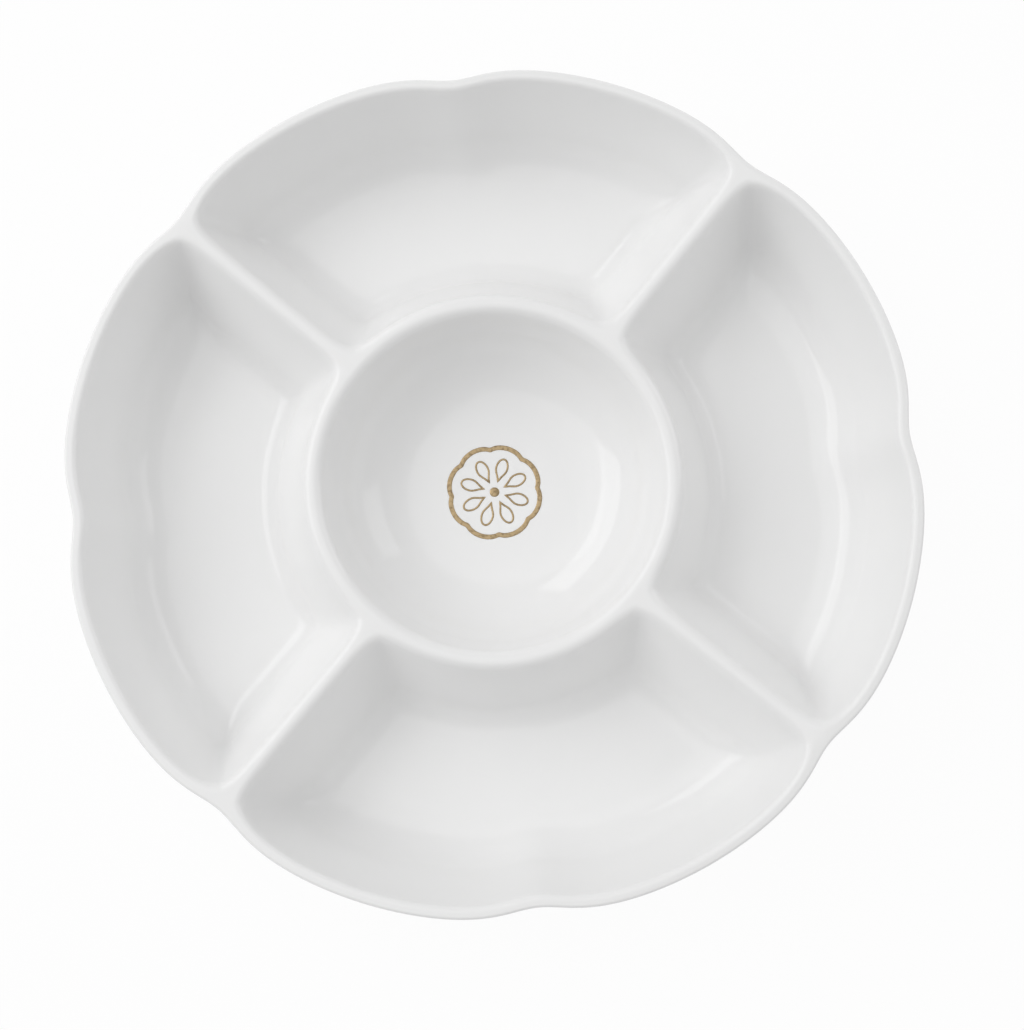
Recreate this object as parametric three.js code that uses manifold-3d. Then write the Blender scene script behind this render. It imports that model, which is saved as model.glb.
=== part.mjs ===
// Divided porcelain snack bowl: a petal-edged tray with a raised collar, a round bowl hung in that
// collar, four dividers and a foot ring, luted together, and a gilt rosette in the round bowl.
// Millimetres, +Z up. The origin is the middle of the plane that the foot stands on.
import * as THREE from "three";
import { mergeVertices } from "three/addons/utils/BufferGeometryUtils.js";
import Module from "manifold-3d";

const wasm = await Module();
wasm.setup();

// Tray sizes
const RIM_DIAMETER = 280; // across the petals
const DISH_HEIGHT = 44; // table to the top of the rim
const WALL = 4; // thickness of the tray and of the round bowl
const WALL_RUN = 26; // outwards from the edge of the flat floor to the petals
const WALL_FILLET = 15; // hollow radius between the floor and the outer wall
const LIP_LAND = 1.1; // level width along the top of the rim
const LIP_EDGE = 1; // radius of the rim's outer edge
const PETALS = 8; // round the rim
const NOTCH_DEPTH = 3.9; // how far the rim draws in between two petals
const NOTCH_DEPTH_AT_FLOOR = 3.4; // the same where the wall meets the floor
const NOTCH_REACH = 8.3; // along the rim, over which a notch dies away
const NOTCH_ROUNDING = 11; // along the rim, over which the bottom of a notch is rounded

// Foot sizes
const FOOT_HEIGHT = 4; // table to the underside of the tray
const FOOT_WIDTH = 6; // where it joins the tray
const FOOT_TAPER = 0.9; // narrower by this on each side where it stands

// Ring and round bowl sizes
const RING_DIAMETER = 119; // over the middle of the crest
const RING_HEIGHT = 38; // table to the crest
const RING_CREST = 3.7; // radius of the crest
const RING_RUN = 24.3; // outwards from the crest to the flat floor
const FILLET = 10.5; // hollow radius between the floor and the ring or a divider
const BOWL_RUN = 33; // inwards from the crest to the bowl's flat floor
const BOWL_DEPTH = 29; // crest to the bowl's floor
const BOWL_FILLET = 28; // hollow radius round the bowl's floor

// Divider sizes
const DIVIDERS = 4;
const DIVIDER_CREST = 3.4; // radius along the top
const DIVIDER_RUN = 25; // sideways from the top to the flat floor
const DIVIDER_DROP_AT_RIM = 1.2; // the top's height below the rim
const DIVIDER_DROP_AT_RING = 0.6; // the top's height below the crest of the ring
const FEATHER = 0.4; // thickness at which a divider's hollow foot stops

// Clearances
const LUTING_GAP = 0.3; // slip between pieces that are luted edge to edge

// Gilding sizes
const GILT = 0.3; // thickness of the raised gold
const BAND_DIAMETER = 34; // across the petals of the outer band
const BAND_WIDTH = 1.7;
const BAND_NOTCH_DEPTH = 1.1;
const BAND_NOTCH_REACH = 2.2;
const BAND_NOTCH_ROUNDING = 0.5;
const GILT_PETALS = 8;
const GILT_PETAL_START = 3.4; // from the middle to a petal's inner tip
const GILT_PETAL_LENGTH = 9;
const GILT_PETAL_WIDTH = 4.6;
const GILT_LINE = 0.7; // width of a petal's outline
const BEAD_DIAMETER = 3.4;

// Curve of a gilt petal, as shares of its length and of its half width
const PETAL_BELLY = 0.62; // from the inner tip to where it is widest
const PETAL_TIP_DRAW = 1.8; // how much further than the sides the inner tip draws in
const TIP_PULL_ALONG = 0.5;
const TIP_PULL_ASIDE = 0.3;
const BELLY_PULL_IN = 1.1;
const BELLY_PULL_OUT = 0.8;
const END_PULL = 0.6;

// Steps that curves are cut into
const STEPS_PER_PETAL = 12;
const CROWDING = 1.6; // how much closer together they are near a notch
const FILLET_STEPS = 5;
const UNDERSIDE_STEPS = 4;
const CREST_STEPS = 8;
const EDGE_STEPS = 4;
const ROUND_STEPS = 56;
const GILT_STEPS = 5;
const BEAD_STEPS = 24;

// Heights and radii that follow from the sizes
const floorZ = FOOT_HEIGHT + WALL;
const bowlFloorZ = RING_HEIGHT - BOWL_DEPTH;
const ringRadius = RING_DIAMETER / 2;
const ringFootRadius = ringRadius + RING_RUN;
const bowlFloorRadius = ringRadius - BOWL_RUN;
const floorRadius = RIM_DIAMETER / 2 - WALL_RUN;
const footRadius = (ringFootRadius + floorRadius) / 2;

// Finishes
const glaze = new THREE.MeshStandardMaterial({ color: 0xf2f2ef, roughness: 0.14, metalness: 0 });
const biscuit = new THREE.MeshStandardMaterial({ color: 0xe9e4da, roughness: 0.62, metalness: 0 });
const gold = new THREE.MeshStandardMaterial({ color: 0xb98d50, roughness: 0.32, metalness: 1 });

// How deep a petal notch is at an angle: full at the notch, rounded there, and dying away beside it
function notchAt(angle, depth, reach, rounding, radius) {
  const pitch = (2 * Math.PI) / PETALS;
  const away = (angle - pitch * Math.round(angle / pitch)) * radius;
  return depth * Math.exp((rounding - Math.hypot(away, rounding)) / reach);
}

function rimNotch(angle, depth) {
  return notchAt(angle, depth, NOTCH_REACH, NOTCH_ROUNDING, RIM_DIAMETER / 2);
}

// Angles round the dish, closer together near the notches
function petalAngles() {
  const angles = [];
  const half = Math.PI / PETALS;
  for (let petal = 0; petal < PETALS; petal += 1) {
    for (let step = 0; step < STEPS_PER_PETAL; step += 1) {
      const share = (2 * step) / STEPS_PER_PETAL - 1;
      angles.push(2 * half * petal + half * Math.sign(share) * Math.abs(share) ** CROWDING);
    }
  }
  return angles;
}

// A sloping face in section: a hollow fillet at the floor, a slope, and a rounded crest. The slope is
// the line tangent to both. side is +1 when the face climbs towards +x and -1 when it climbs towards -x.
function slopingFace(side, fillet, crest) {
  const run = side * (crest.x - fillet.x);
  const rise = crest.z - fillet.z;
  const lean = Math.asin((fillet.r + crest.r) / Math.hypot(run, rise));
  const slope = Math.atan2(rise, run) + lean;
  const into = new THREE.Vector2(side * Math.sin(slope), -Math.cos(slope));
  const reach = fillet.x * into.x + fillet.z * into.y + fillet.r;
  const onFillet = (turn, depth) =>
    new THREE.Vector2(
      fillet.x + side * (fillet.r + depth) * Math.sin(turn),
      fillet.z - (fillet.r + depth) * Math.cos(turn),
    );
  const onCrest = (turn, depth) =>
    new THREE.Vector2(
      crest.x - side * (crest.r - depth) * Math.sin(turn),
      crest.z + (crest.r - depth) * Math.cos(turn),
    );
  const spread = (point, from, to, steps, depth) =>
    Array.from({ length: steps + 1 }, (_, i) => point(from + ((to - from) * i) / steps, depth));
  return {
    slope,
    // the hollow from the angle given up to the slope, on a face that lies depth inside this one
    filletArc: (depth = 0, from = 0, steps = FILLET_STEPS) => spread(onFillet, from, slope, steps, depth),
    // the crest from the slope over to the angle given
    crestArc: (to = 0, depth = 0, steps = CREST_STEPS) => spread(onCrest, slope, to, steps, depth),
    // the point of the slope at a height
    atHeight: (z, depth = 0) => new THREE.Vector2((reach + depth - z * into.y) / into.x, z),
  };
}

// The faces that the pieces share
function wallFace(angle) {
  const foot = floorRadius - rimNotch(angle, NOTCH_DEPTH_AT_FLOOR);
  const lip = RIM_DIAMETER / 2 - rimNotch(angle, NOTCH_DEPTH) - LIP_EDGE - LIP_LAND;
  return slopingFace(
    1,
    { x: foot, z: floorZ + WALL_FILLET, r: WALL_FILLET },
    { x: lip, z: DISH_HEIGHT - WALL / 2, r: WALL / 2 },
  );
}

// The rounded outer edge of the rim, from its level top down to the back of the wall
function lipEdge(angle, slope) {
  const middle = RIM_DIAMETER / 2 - rimNotch(angle, NOTCH_DEPTH) - LIP_EDGE;
  return Array.from({ length: EDGE_STEPS + 1 }, (_, i) => {
    const turn = ((Math.PI - slope) * i) / EDGE_STEPS;
    return new THREE.Vector2(
      middle + LIP_EDGE * Math.sin(turn),
      DISH_HEIGHT - LIP_EDGE + LIP_EDGE * Math.cos(turn),
    );
  });
}

const ringCrest = { x: ringRadius, z: RING_HEIGHT - RING_CREST, r: RING_CREST };
const ringFace = slopingFace(-1, { x: ringFootRadius, z: floorZ + FILLET, r: FILLET }, ringCrest);
const bowlFillet = { x: bowlFloorRadius, z: bowlFloorZ + BOWL_FILLET, r: BOWL_FILLET };
const bowlFace = slopingFace(1, bowlFillet, ringCrest);

function dividerFace(top) {
  return slopingFace(
    -1,
    { x: DIVIDER_RUN, z: floorZ + FILLET, r: FILLET },
    { x: 0, z: top - DIVIDER_CREST, r: DIVIDER_CREST },
  );
}

// The height at which the whole thickness of the collar fits under the bowl's lip, clear of the bowl
function seatHeight() {
  const room = (z) => ringFace.atHeight(z, WALL).x - bowlFace.atHeight(z, WALL).x;
  return (LUTING_GAP - room(0)) / (room(1) - room(0));
}

const seatZ = seatHeight();

// Closed section swept round the upright axis; the section may change with the angle. Each four-sided
// patch is split along its shorter diagonal, so that pieces with a shared face are split alike.
function sweepRound(sectionAt, angles) {
  const sections = angles.map(sectionAt);
  const count = sections[0].length;
  const points = sections.map((section, i) =>
    section.map(({ x, y }) => new THREE.Vector3(x * Math.cos(angles[i]), x * Math.sin(angles[i]), y)),
  );
  const faces = [];
  points.forEach((ring, i) => {
    const ahead = (i + 1) % angles.length;
    ring.forEach((point, j) => {
      const over = (j + 1) % count;
      const [a, b] = [i * count + j, ahead * count + j];
      const [c, d] = [ahead * count + over, i * count + over];
      if (point.distanceTo(points[ahead][over]) < points[ahead][j].distanceTo(ring[over])) {
        faces.push(a, b, c, a, c, d);
      } else {
        faces.push(a, b, d, b, c, d);
      }
    });
  });
  const positions = points.flat().flatMap((point) => point.toArray());
  const geometry = new THREE.BufferGeometry();
  geometry.setAttribute("position", new THREE.Float32BufferAttribute(positions, 3));
  geometry.setIndex(faces);
  geometry.computeVertexNormals();
  return geometry;
}

// Sections with the same number of points joined along +X and closed at both ends
function loftAlongX(stations) {
  const count = stations[0].section.length;
  const positions = [];
  const faces = [];
  stations.forEach(({ x, section }, i) => {
    section.forEach((point, j) => {
      const over = (j + 1) % count;
      positions.push(x, point.x, point.y);
      if (i + 1 < stations.length) {
        faces.push(i * count + j, i * count + over, (i + 1) * count + over);
        faces.push(i * count + j, (i + 1) * count + over, (i + 1) * count + j);
      }
    });
  });
  const last = (stations.length - 1) * count;
  THREE.ShapeUtils.triangulateShape(stations[0].section, []).forEach(([a, b, c]) => {
    faces.push(c, b, a);
    faces.push(last + a, last + b, last + c);
  });
  const geometry = new THREE.BufferGeometry();
  geometry.setAttribute("position", new THREE.Float32BufferAttribute(positions, 3));
  geometry.setIndex(faces);
  return geometry;
}

// Section revolved round the upright axis
function revolve(points, steps) {
  return new THREE.LatheGeometry(points, steps).rotateX(Math.PI / 2);
}

function toSolid(geometry) {
  const bare = geometry.clone();
  bare.deleteAttribute("normal");
  bare.deleteAttribute("uv");
  const merged = mergeVertices(bare, 1e-4);
  const vertProperties = new Float32Array(merged.attributes.position.array);
  const triVerts = new Uint32Array(merged.index.array);
  return new wasm.Manifold(new wasm.Mesh({ numProp: 3, vertProperties, triVerts }));
}

function toGeometry(solid) {
  const mesh = solid.getMesh();
  const geometry = new THREE.BufferGeometry();
  geometry.setAttribute("position", new THREE.BufferAttribute(mesh.vertProperties.slice(), 3));
  geometry.setIndex(new THREE.BufferAttribute(mesh.triVerts.slice(), 1));
  geometry.computeVertexNormals();
  return geometry;
}

// Tray: collar, floor, outer wall and lip in one sheet of even thickness
function trayGeometry() {
  const sectionAt = (angle) => {
    const wall = wallFace(angle);
    return [
      ringFace.atHeight(seatZ, WALL),
      ringFace.atHeight(seatZ),
      ...ringFace.filletArc().reverse(),
      ...wall.filletArc(),
      ...wall.crestArc(),
      ...lipEdge(angle, wall.slope),
      ...wall.filletArc(WALL, 0, UNDERSIDE_STEPS).reverse(),
      ...ringFace.filletArc(WALL, 0, UNDERSIDE_STEPS),
    ].reverse();
  };
  return sweepRound(sectionAt, petalAngles());
}

// Round bowl: its lip is the crest of the ring and rests on the top of the collar
function bowlGeometry() {
  const section = [
    new THREE.Vector2(0, bowlFloorZ - WALL),
    ...bowlFace.filletArc(WALL),
    bowlFace.atHeight(seatZ, WALL),
    ringFace.atHeight(seatZ),
    ...bowlFace.crestArc(-ringFace.slope).reverse(),
    ...bowlFace.filletArc().reverse(),
    new THREE.Vector2(0, bowlFloorZ),
  ];
  return revolve(section, ROUND_STEPS);
}

// Dividers: a ridge with hollow feet on the floor, trimmed to the wall and the ring at its ends
function dividerSection(top) {
  const face = dividerFace(top);
  const right = [
    ...face.filletArc(0, Math.acos(1 - FEATHER / FILLET)),
    ...face.crestArc(0, 0, CREST_STEPS / 2),
  ];
  right.unshift(new THREE.Vector2(right[0].x, floorZ));
  const left = right.slice(0, -1).map((point) => new THREE.Vector2(-point.x, point.y));
  return [...right, ...left.reverse()];
}

// The room between the ring and the outer wall, drawn in by the luting gap
function channelGeometry() {
  const above = DISH_HEIGHT + RING_HEIGHT;
  const sectionAt = (angle) => {
    const wall = wallFace(angle);
    const inner = [...ringFace.filletArc(-LUTING_GAP), ...ringFace.crestArc(0, -LUTING_GAP)];
    const outer = [...wall.filletArc(-LUTING_GAP), ...wall.crestArc(0, -LUTING_GAP)];
    return [
      new THREE.Vector2(inner[0].x, 0),
      new THREE.Vector2(outer[0].x, 0),
      ...outer,
      new THREE.Vector2(outer[outer.length - 1].x, above),
      new THREE.Vector2(inner[inner.length - 1].x, above),
      ...inner.reverse(),
    ];
  };
  return sweepRound(sectionAt, petalAngles());
}

function dividerGeometry() {
  const ridge = loftAlongX([
    { x: ringRadius, section: dividerSection(RING_HEIGHT - DIVIDER_DROP_AT_RING) },
    { x: RIM_DIAMETER / 2, section: dividerSection(DISH_HEIGHT - DIVIDER_DROP_AT_RIM) },
  ]);
  return toGeometry(toSolid(ridge).intersect(toSolid(channelGeometry())));
}

// Foot: a low ring under the middle of the tray's flat floor, narrower where it stands
function footGeometry() {
  const half = FOOT_WIDTH / 2;
  const section = [
    new THREE.Vector2(footRadius - half + FOOT_TAPER, 0),
    new THREE.Vector2(footRadius + half - FOOT_TAPER, 0),
    new THREE.Vector2(footRadius + half, FOOT_HEIGHT),
    new THREE.Vector2(footRadius - half, FOOT_HEIGHT),
  ];
  section.push(section[0].clone());
  return revolve(section, ROUND_STEPS);
}

// Gilding: a petal-edged band, a ring of outlined petals and a bead
function bandGeometry() {
  const edge = (inset) =>
    petalAngles().map((angle) => {
      const outside = BAND_DIAMETER / 2;
      const notch = notchAt(angle, BAND_NOTCH_DEPTH, BAND_NOTCH_REACH, BAND_NOTCH_ROUNDING, outside);
      const radius = outside - inset - notch;
      return new THREE.Vector2(radius * Math.cos(angle), radius * Math.sin(angle));
    });
  const shape = new THREE.Shape(edge(0));
  shape.holes.push(new THREE.Path(edge(BAND_WIDTH).reverse()));
  return new THREE.ExtrudeGeometry(shape, { depth: GILT, bevelEnabled: false });
}

function petalOutline(inset) {
  const start = GILT_PETAL_START + inset * PETAL_TIP_DRAW;
  const end = GILT_PETAL_START + GILT_PETAL_LENGTH - inset;
  const half = GILT_PETAL_WIDTH / 2 - inset;
  const belly = start + (end - start) * PETAL_BELLY;
  const tip = start + (belly - start) * TIP_PULL_ALONG;
  const inward = belly - half * BELLY_PULL_IN;
  const outward = belly + half * BELLY_PULL_OUT;
  const outline = new THREE.Path();
  outline.moveTo(start, 0);
  outline.bezierCurveTo(tip, -half * TIP_PULL_ASIDE, inward, -half, belly, -half);
  outline.bezierCurveTo(outward, -half, end, -half * END_PULL, end, 0);
  outline.bezierCurveTo(end, half * END_PULL, outward, half, belly, half);
  outline.bezierCurveTo(inward, half, tip, half * TIP_PULL_ASIDE, start, 0);
  return outline.getPoints(GILT_STEPS);
}

function giltPetalGeometry() {
  const shape = new THREE.Shape(petalOutline(0));
  shape.holes.push(new THREE.Path(petalOutline(GILT_LINE).reverse()));
  return new THREE.ExtrudeGeometry(shape, { depth: GILT, bevelEnabled: false });
}

function beadGeometry() {
  const radius = BEAD_DIAMETER / 2;
  const dome = Array.from({ length: GILT_STEPS }, (_, i) => {
    const turn = (i * Math.PI) / (2 * GILT_STEPS);
    return new THREE.Vector2(radius * Math.cos(turn), GILT + GILT * Math.sin(turn));
  });
  const base = [new THREE.Vector2(0, 0), new THREE.Vector2(radius, 0)];
  return revolve([...base, ...dome, new THREE.Vector2(0, 2 * GILT)], BEAD_STEPS);
}

// Assembly
const part = new THREE.Group();
part.name = "snack_bowl";

function place(name, geometry, material, height = 0, turn = 0) {
  const mesh = new THREE.Mesh(geometry, material);
  mesh.name = name;
  mesh.position.z = height;
  mesh.rotation.z = turn;
  part.add(mesh);
}

place("tray", trayGeometry(), glaze);
place("centre_bowl", bowlGeometry(), glaze);
place("foot_ring", footGeometry(), biscuit);

const divider = dividerGeometry();
const corners = ["back_right", "back_left", "front_left", "front_right"];
for (let i = 0; i < DIVIDERS; i += 1) {
  const turn = ((2 * i + 1) * Math.PI) / DIVIDERS;
  place(`divider_${corners[i]}`, divider, glaze, 0, turn);
}

place("gilt_band", bandGeometry(), gold, bowlFloorZ);
const giltPetal = giltPetalGeometry();
for (let i = 0; i < GILT_PETALS; i += 1) {
  const turn = ((2 * i + 1) * Math.PI) / GILT_PETALS;
  place(`gilt_petal_${i + 1}`, giltPetal, gold, bowlFloorZ, turn);
}
place("gilt_bead", beadGeometry(), gold, bowlFloorZ);

export default part;
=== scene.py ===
"""Divided snack bowl of white porcelain with a gilt rosette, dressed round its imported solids.

The fired dish is one skin of glaze, so one swept mesh stands for the tray, the round bowl and the dividers. Its
height follows one rule: every wall rises from the floor through a hollow, up a slope and over a rounded crest,
and walls that meet are rounded into each other. Lengths are metres, +Z is up, the foot stands on the origin.
"""

import logging
import math
from dataclasses import dataclass
from enum import Enum
from typing import NamedTuple, Union

import bpy
from mathutils import Matrix, Vector


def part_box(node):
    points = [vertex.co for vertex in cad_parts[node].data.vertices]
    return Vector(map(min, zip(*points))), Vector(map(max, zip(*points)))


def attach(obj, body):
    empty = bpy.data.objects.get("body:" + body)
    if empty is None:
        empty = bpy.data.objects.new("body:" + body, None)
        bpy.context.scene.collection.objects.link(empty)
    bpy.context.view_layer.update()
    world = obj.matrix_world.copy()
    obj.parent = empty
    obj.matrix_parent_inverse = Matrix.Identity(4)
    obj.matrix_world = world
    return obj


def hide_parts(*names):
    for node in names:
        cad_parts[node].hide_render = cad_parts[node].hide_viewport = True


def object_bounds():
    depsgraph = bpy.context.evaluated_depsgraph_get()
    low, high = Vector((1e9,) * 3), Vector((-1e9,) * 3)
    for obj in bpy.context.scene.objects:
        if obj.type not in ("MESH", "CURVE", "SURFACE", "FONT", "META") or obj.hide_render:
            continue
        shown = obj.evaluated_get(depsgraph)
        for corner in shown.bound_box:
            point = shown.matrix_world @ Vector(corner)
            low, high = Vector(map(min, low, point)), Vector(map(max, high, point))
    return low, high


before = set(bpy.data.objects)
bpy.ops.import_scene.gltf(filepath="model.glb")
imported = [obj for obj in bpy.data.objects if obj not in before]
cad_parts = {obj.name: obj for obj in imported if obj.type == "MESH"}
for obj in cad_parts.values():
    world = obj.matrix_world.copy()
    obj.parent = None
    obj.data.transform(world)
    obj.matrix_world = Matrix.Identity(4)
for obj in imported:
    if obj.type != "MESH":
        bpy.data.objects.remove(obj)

CAD_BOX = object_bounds()
BODY = "root"
MM = 0.001
LOG = logging.getLogger("snack_bowl")
Value = Union["Field", float]
Point = tuple[float, float]


class Slot(Enum):
    """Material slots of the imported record."""

    GLAZED = "glazed_porcelain"
    BARE = "bare_porcelain"
    GOLD = "burnished_gold"


class Side(Enum):
    """Where a stretch of a section lies: on the open side its height follows the compartments."""

    OPEN = 1.0
    UNDER = 0.0


class Row(NamedTuple):
    """One point of a section: its reach from the axis, its height, its share of a petal notch and its side."""

    reach: float
    height: float
    petal: float = 0.0
    side: Side = Side.UNDER


class Field:
    """A number that a node graph works out at every point, combined by ordinary arithmetic."""

    def __init__(self, graph: "Wiring", socket: bpy.types.NodeSocket) -> None:
        """Keeps the graph and the socket that carries the number."""
        self.graph = graph
        self.socket = socket

    def __add__(self, other: Value) -> "Field":
        """Sum."""
        return self.graph.maths("ADD", self, other)

    def __sub__(self, other: Value) -> "Field":
        """Difference."""
        return self.graph.maths("SUBTRACT", self, other)

    def __rsub__(self, other: Value) -> "Field":
        """Difference from a plain number."""
        return self.graph.maths("SUBTRACT", other, self)

    def __mul__(self, other: Value) -> "Field":
        """Product."""
        return self.graph.maths("MULTIPLY", self, other)

    def __truediv__(self, other: Value) -> "Field":
        """Quotient."""
        return self.graph.maths("DIVIDE", self, other)

    def __rtruediv__(self, other: Value) -> "Field":
        """Quotient of a plain number."""
        return self.graph.maths("DIVIDE", other, self)

    def sin(self) -> "Field":
        """Sine."""
        return self.graph.maths("SINE", self)

    def cos(self) -> "Field":
        """Cosine."""
        return self.graph.maths("COSINE", self)

    def exp(self) -> "Field":
        """Natural exponential."""
        return self.graph.maths("EXPONENT", self)

    def log(self) -> "Field":
        """Natural logarithm."""
        return self.graph.maths("LOGARITHM", self, math.e)

    def root(self) -> "Field":
        """Square root, with zero for a negative number."""
        return self.graph.maths("SQRT", self.most(0.0))

    def size(self) -> "Field":
        """Absolute value."""
        return self.graph.maths("ABSOLUTE", self)

    def whole(self) -> "Field":
        """Nearest whole number."""
        return self.graph.maths("ROUND", self)

    def least(self, other: Value) -> "Field":
        """The smaller of two."""
        return self.graph.maths("MINIMUM", self, other)

    def most(self, other: Value) -> "Field":
        """The larger of two."""
        return self.graph.maths("MAXIMUM", self, other)

    def between(self, low: Value, high: Value) -> "Field":
        """The number held between two limits."""
        return self.most(low).least(high)

    def below(self, other: Value) -> "Field":
        """One where this number is smaller, and zero elsewhere."""
        return self.graph.maths("LESS_THAN", self, other)

    def mixed(self, other: Value, share: Value) -> "Field":
        """This number at share 0, the other at share 1."""
        return self + (other - self) * share


class Wiring:
    """The nodes of one tree, of geometry or of a shader."""

    def __init__(self, tree: bpy.types.NodeTree) -> None:
        """Keeps the tree that the nodes go into."""
        self.tree = tree

    def node(self, kind: str, **values: object) -> bpy.types.Node:
        """Adds a node.

        Args:
            kind: Blender's name for the node.
            values: properties to set on it.

        Returns:
            The new node.
        """
        made = self.tree.nodes.new(kind)
        for name, value in values.items():
            setattr(made, name, value)
        return made

    def feed(self, socket: bpy.types.NodeSocket, value: object) -> None:
        """Links a field or a socket to an input, or sets the input to a plain value.

        Args:
            socket: the input.
            value: what goes into it.
        """
        source = value.socket if isinstance(value, Field) else value
        if isinstance(source, bpy.types.NodeSocket):
            self.tree.links.new(source, socket)
        else:
            socket.default_value = source

    def maths(self, operation: str, *values: Value) -> Field:
        """Adds one step of arithmetic.

        Args:
            operation: the step's name.
            values: fields or plain numbers.

        Returns:
            The result as a field.
        """
        made = self.node("ShaderNodeMath", operation=operation)
        for socket, value in zip(made.inputs, values):
            self.feed(socket, value)
        return Field(self, made.outputs[0])


class Graph(Wiring):
    """A geometry-node tree that sweeps its object's section round the upright axis."""

    def __init__(self, name: str) -> None:
        """Starts an empty tree with geometry going in and out.

        Args:
            name: the tree's name.
        """
        super().__init__(bpy.data.node_groups.new(name, "GeometryNodeTree"))
        self.tree.interface.new_socket("Section", in_out="INPUT", socket_type="NodeSocketGeometry")
        self.tree.interface.new_socket("Piece", in_out="OUTPUT", socket_type="NodeSocketGeometry")
        self.entry = self.node("NodeGroupInput")
        self.exit = self.node("NodeGroupOutput")
        self.settings: dict[str, object] = {}

    def named(self, name: str, value: object, kind: str = "Float") -> Field:
        """Adds a named input to the tree and keeps the value that the piece gives it.

        Args:
            name: the input's name.
            value: what the modifier sets it to.
            kind: the socket's kind, such as Float, Int or Material.

        Returns:
            The input as a field.
        """
        socket = self.tree.interface.new_socket(name, in_out="INPUT", socket_type=f"NodeSocket{kind}")
        self.settings[socket.identifier] = value
        return Field(self, self.entry.outputs[name])

    def attribute(self, name: str) -> Field:
        """Reads a number that is stored on the section's points.

        Args:
            name: the number's name.

        Returns:
            The number as a field.
        """
        made = self.node("GeometryNodeInputNamedAttribute", data_type="FLOAT")
        made.inputs["Name"].default_value = name
        return Field(self, made.outputs["Attribute"])

    def parts(self, vector: bpy.types.NodeSocket) -> tuple[Field, Field, Field]:
        """Splits a vector.

        Args:
            vector: the socket that carries it.

        Returns:
            Its three numbers.
        """
        made = self.node("ShaderNodeSeparateXYZ")
        self.feed(made.inputs[0], vector)
        return Field(self, made.outputs[0]), Field(self, made.outputs[1]), Field(self, made.outputs[2])

    def net(self, columns: Field) -> tuple[bpy.types.NodeSocket, Field, Field]:
        """Makes the flat net that is bent into the piece: a row for each point of the section.

        Args:
            columns: steps round the axis.

        Returns:
            The net's geometry, each vertex's column and each vertex's row.
        """
        rows = self.node("GeometryNodeAttributeDomainSize", component="MESH")
        self.feed(rows.inputs["Geometry"], self.entry.outputs["Section"])
        count = Field(self, rows.outputs["Point Count"])
        grid = self.node("GeometryNodeMeshGrid")
        self.feed(grid.inputs["Size X"], columns)
        self.feed(grid.inputs["Size Y"], count - 1.0)
        self.feed(grid.inputs["Vertices X"], columns + 1.0)
        self.feed(grid.inputs["Vertices Y"], count)
        x, y, _ = self.parts(self.node("GeometryNodeInputPosition").outputs[0])
        return grid.outputs["Mesh"], x + columns * 0.5, y + (count - 1.0) * 0.5

    def from_section(self, value: object, row: Field, kind: str = "FLOAT") -> bpy.types.NodeSocket:
        """Reads a value from the section's point that a vertex belongs to.

        Args:
            value: a field or a socket that is worked out on the section.
            row: the vertex's row.
            kind: the value's data type.

        Returns:
            The socket that carries the value.
        """
        made = self.node("GeometryNodeSampleIndex", data_type=kind, domain="POINT")
        self.feed(made.inputs["Geometry"], self.entry.outputs["Section"])
        self.feed(made.inputs["Value"], value)
        self.feed(made.inputs["Index"], row.whole())
        return made.outputs["Value"]

    def store(self, geometry: bpy.types.NodeSocket, name: str, value: Field) -> bpy.types.NodeSocket:
        """Stores a number on the piece's vertices for its finish to read.

        Args:
            geometry: the piece.
            name: the number's name.
            value: the number.

        Returns:
            The piece with the number on it.
        """
        made = self.node("GeometryNodeStoreNamedAttribute", data_type="FLOAT", domain="POINT")
        self.feed(made.inputs["Geometry"], geometry)
        made.inputs["Name"].default_value = name
        self.feed(made.inputs["Value"], value)
        return made.outputs["Geometry"]

    def bend(self, geometry: bpy.types.NodeSocket, angle: Field, reach: Field, height: Field) -> object:
        """Moves the net's vertices to an angle, a reach and a height.

        Args:
            geometry: the flat net.
            angle: direction round the axis.
            reach: distance from the axis.
            height: distance above the table.

        Returns:
            The bent geometry's socket.
        """
        point = self.node("ShaderNodeCombineXYZ")
        for socket, value in zip(point.inputs, (reach * angle.cos(), reach * angle.sin(), height)):
            self.feed(socket, value)
        made = self.node("GeometryNodeSetPosition")
        self.feed(made.inputs["Geometry"], geometry)
        self.feed(made.inputs["Position"], point.outputs[0])
        return made.outputs["Geometry"]

    def end(self, geometry: bpy.types.NodeSocket, material: Field, merge: float) -> None:
        """Closes the seam and the poles, smooths the faces, and sends the piece out with its finish.

        Args:
            geometry: the bent geometry.
            material: the finish.
            merge: vertices closer than this become one.
        """
        closed = self.node("GeometryNodeMergeByDistance")
        self.feed(closed.inputs["Geometry"], geometry)
        self.feed(closed.inputs["Distance"], merge)
        smooth = self.node("GeometryNodeSetShadeSmooth")
        self.feed(smooth.inputs["Geometry"], closed.outputs["Geometry"])
        real = self.node("GeometryNodeRealizeInstances")
        self.feed(real.inputs["Geometry"], smooth.outputs["Geometry"])
        dressed = self.node("GeometryNodeSetMaterial")
        self.feed(dressed.inputs["Geometry"], real.outputs["Geometry"])
        self.feed(dressed.inputs["Material"], material)
        self.feed(self.exit.inputs["Piece"], dressed.outputs["Geometry"])

    def run(self, holder: bpy.types.Object) -> bpy.types.Mesh:
        """Runs the tree on an object and takes the modifier off again.

        Args:
            holder: the object with the section or the outline.

        Returns:
            The result as a plain mesh.
        """
        modifier = holder.modifiers.new(self.tree.name, "NODES")
        modifier.node_group = self.tree
        for identifier, value in self.settings.items():
            modifier[identifier] = value
        evaluated = holder.evaluated_get(bpy.context.evaluated_depsgraph_get())
        mesh = bpy.data.meshes.new_from_object(evaluated)
        holder.modifiers.clear()
        return mesh


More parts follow.
